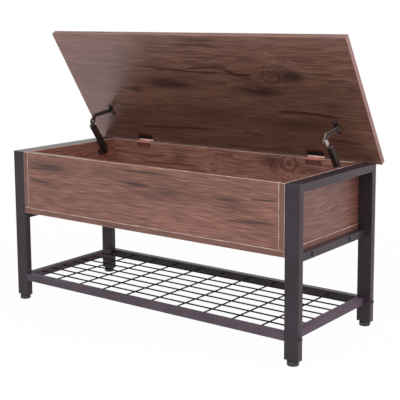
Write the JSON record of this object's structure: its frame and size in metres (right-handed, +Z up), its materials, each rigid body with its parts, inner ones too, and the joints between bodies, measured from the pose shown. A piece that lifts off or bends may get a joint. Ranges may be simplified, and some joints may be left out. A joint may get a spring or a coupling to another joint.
{
  "type": "shoe storage bench",
  "caption": "Entryway bench with a dark tube frame, a walnut lift-top storage box on folding lid stays and an open wire shelf for shoes below.",
  "frame": {"origin": "on the floor, under the middle of the steel frame", "axes": "+X along the bench to the right as seen from the front, +Y from front to rear towards the hinges, +Z up"},
  "size_m": [1, 0.4102, 0.7842],
  "materials": {
    "frame_paint": "satin charcoal powder coat",
    "mesh_paint": "satin black powder coat",
    "walnut_board": "matte reddish-brown walnut laminate",
    "dowel_wood": "plain beech",
    "foot_plastic": "matte black",
    "bolt_steel": "satin black",
    "insert_steel": "plain zinc",
    "hinge_copper": "antique copper",
    "stay_paint": "satin dark bronze",
    "pin_steel": "bright nickel"
  },
  "bodies": {
    "frame_and_box": {"bearer_left": "frame_paint", "bearer_right": "frame_paint", "box_bottom": "walnut_board", "box_dowels": "dowel_wood", "box_fixing_screws": "pin_steel", "box_front": "walnut_board", "box_rear": "walnut_board", "box_side_left": "walnut_board", "box_side_right": "walnut_board", "hinge_leaf_left": "hinge_copper", "hinge_leaf_right": "hinge_copper", "hinge_pin_left": "hinge_copper", "hinge_pin_right": "hinge_copper", "hinge_screws": "hinge_copper", "leg_front_left": "frame_paint", "leg_front_right": "frame_paint", "leg_plugs": "foot_plastic", "leg_rear_left": "frame_paint", "leg_rear_right": "frame_paint", "shelf_bolts": "bolt_steel", "shelf_cross_wires": "mesh_paint", "shelf_front_rail": "frame_paint", "shelf_inserts": "insert_steel", "shelf_long_wires": "mesh_paint", "shelf_rear_rail": "frame_paint", "shelf_side_rail_left": "frame_paint", "shelf_side_rail_right": "frame_paint", "stay_base_pins": "pin_steel", "stay_plate_left": "stay_paint", "stay_plate_right": "stay_paint", "stay_plate_screws": "pin_steel", "stretcher_bolts": "bolt_steel", "stretcher_front": "frame_paint", "stretcher_inserts": "insert_steel", "stretcher_rear": "frame_paint", "top_rail_left": "frame_paint", "top_rail_right": "frame_paint"},
    "levelling_foot_front_left": {"foot_front_left": "foot_plastic"},
    "levelling_foot_front_right": {"foot_front_right": "foot_plastic"},
    "levelling_foot_rear_left": {"foot_rear_left": "foot_plastic"},
    "levelling_foot_rear_right": {"foot_rear_right": "foot_plastic"},
    "lid": {"lid_bracket_left": "stay_paint", "lid_bracket_pins": "pin_steel", "lid_bracket_right": "stay_paint", "lid_bracket_screws": "pin_steel", "lid_leaf_left": "hinge_copper", "lid_leaf_right": "hinge_copper", "lid_leaf_screws": "hinge_copper", "lid_panel": "walnut_board"},
    "lower_arm_left": {"stay_elbow_pin_left": "pin_steel", "stay_lower_arm_left": "stay_paint", "stay_tongue_left": "pin_steel"},
    "lower_arm_right": {"stay_elbow_pin_right": "pin_steel", "stay_lower_arm_right": "stay_paint", "stay_tongue_right": "pin_steel"},
    "upper_arm_left": {"stay_upper_arm_left": "stay_paint"},
    "upper_arm_right": {"stay_upper_arm_right": "stay_paint"}
  },
  "joints": [
    {"name": "lid_hinge", "type": "hinge", "parent": "frame_and_box", "child": "lid", "pos_m": [0, 0.1927, 0.4423], "axis": [-1, 0, 0], "range_deg": [-58, 22]},
    {"name": "stay_base_left", "type": "hinge", "parent": "frame_and_box", "child": "lower_arm_left", "pos_m": [-0.4093, 0.1227, 0.4163], "axis": [-1, 0, 0], "range_deg": [-58, 22]},
    {"name": "stay_elbow_left", "type": "hinge", "parent": "lower_arm_left", "child": "upper_arm_left", "pos_m": [-0.4093, 0.05911, 0.50863], "axis": [-1, 0, 0], "range_deg": [-22, 58]},
    {"name": "stay_base_right", "type": "hinge", "parent": "frame_and_box", "child": "lower_arm_right", "pos_m": [0.4093, 0.1227, 0.4163], "axis": [-1, 0, 0], "range_deg": [-58, 22]},
    {"name": "stay_elbow_right", "type": "hinge", "parent": "lower_arm_right", "child": "upper_arm_right", "pos_m": [0.4093, 0.05911, 0.50863], "axis": [-1, 0, 0], "range_deg": [-22, 58]},
    {"name": "foot_front_left_turn", "type": "hinge", "parent": "frame_and_box", "child": "levelling_foot_front_left", "pos_m": [-0.465, -0.184, 0], "axis": [0, 0, 1], "continuous": true},
    {"name": "foot_front_right_turn", "type": "hinge", "parent": "frame_and_box", "child": "levelling_foot_front_right", "pos_m": [0.465, -0.184, 0], "axis": [0, 0, 1], "continuous": true},
    {"name": "foot_rear_left_turn", "type": "hinge", "parent": "frame_and_box", "child": "levelling_foot_rear_left", "pos_m": [-0.465, 0.184, 0], "axis": [0, 0, 1], "continuous": true},
    {"name": "foot_rear_right_turn", "type": "hinge", "parent": "frame_and_box", "child": "levelling_foot_rear_right", "pos_m": [0.465, 0.184, 0], "axis": [0, 0, 1], "continuous": true}
  ],
  "couplings": [
    {"joint": "stay_base_left", "follows": "lid_hinge", "ratio": 1},
    {"joint": "stay_elbow_left", "follows": "lid_hinge", "ratio": -1},
    {"joint": "stay_base_right", "follows": "lid_hinge", "ratio": 1},
    {"joint": "stay_elbow_right", "follows": "lid_hinge", "ratio": -1}
  ]
}
